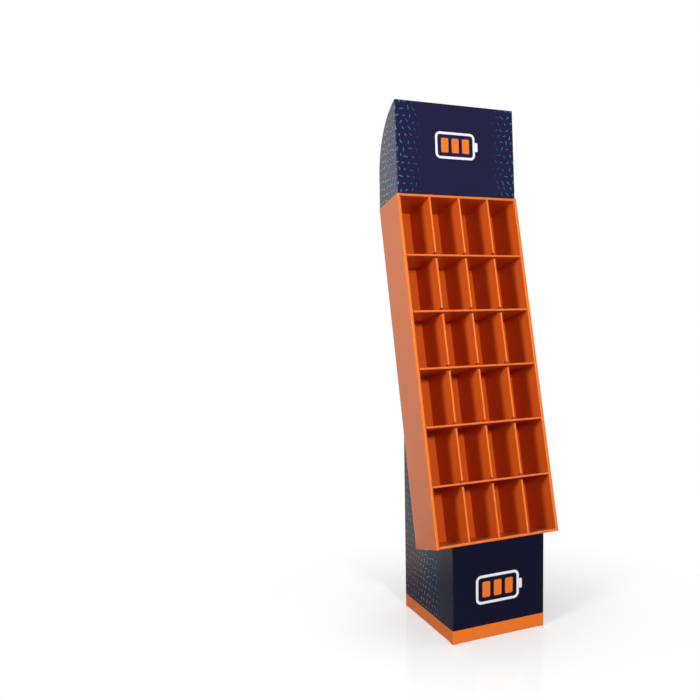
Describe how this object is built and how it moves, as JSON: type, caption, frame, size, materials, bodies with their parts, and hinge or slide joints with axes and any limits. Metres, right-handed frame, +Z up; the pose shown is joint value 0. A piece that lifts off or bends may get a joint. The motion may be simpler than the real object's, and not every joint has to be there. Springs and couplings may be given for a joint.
{
  "type": "cardboard display stand",
  "caption": "Free-standing corrugated cardboard floor display with a leaning tray of open compartments on a sleeve base, with a folded header on top",
  "frame": {"origin": "centre of the base's footprint on the floor", "axes": "+Z up, the shopper stands towards -Y, +X to the shopper's right"},
  "size_m": [0.404, 0.4047, 1.5632],
  "materials": {
    "printed_navy": "satin",
    "printed_orange": "satin",
    "printed_deep_orange": "satin",
    "plain_kraft": "matte"
  },
  "bodies": {
    "root": {"base_shell": "printed_navy", "support_panel": "printed_navy", "ledge_riser": "plain_kraft", "tray": "printed_orange", "header": "printed_navy", "divider_left": "printed_deep_orange", "divider_centre": "printed_deep_orange", "divider_right": "printed_deep_orange", "shelf_1": "printed_deep_orange", "shelf_2": "printed_deep_orange", "shelf_3": "printed_deep_orange", "shelf_4": "printed_deep_orange", "shelf_5": "printed_deep_orange"}
  },
  "joints": []
}
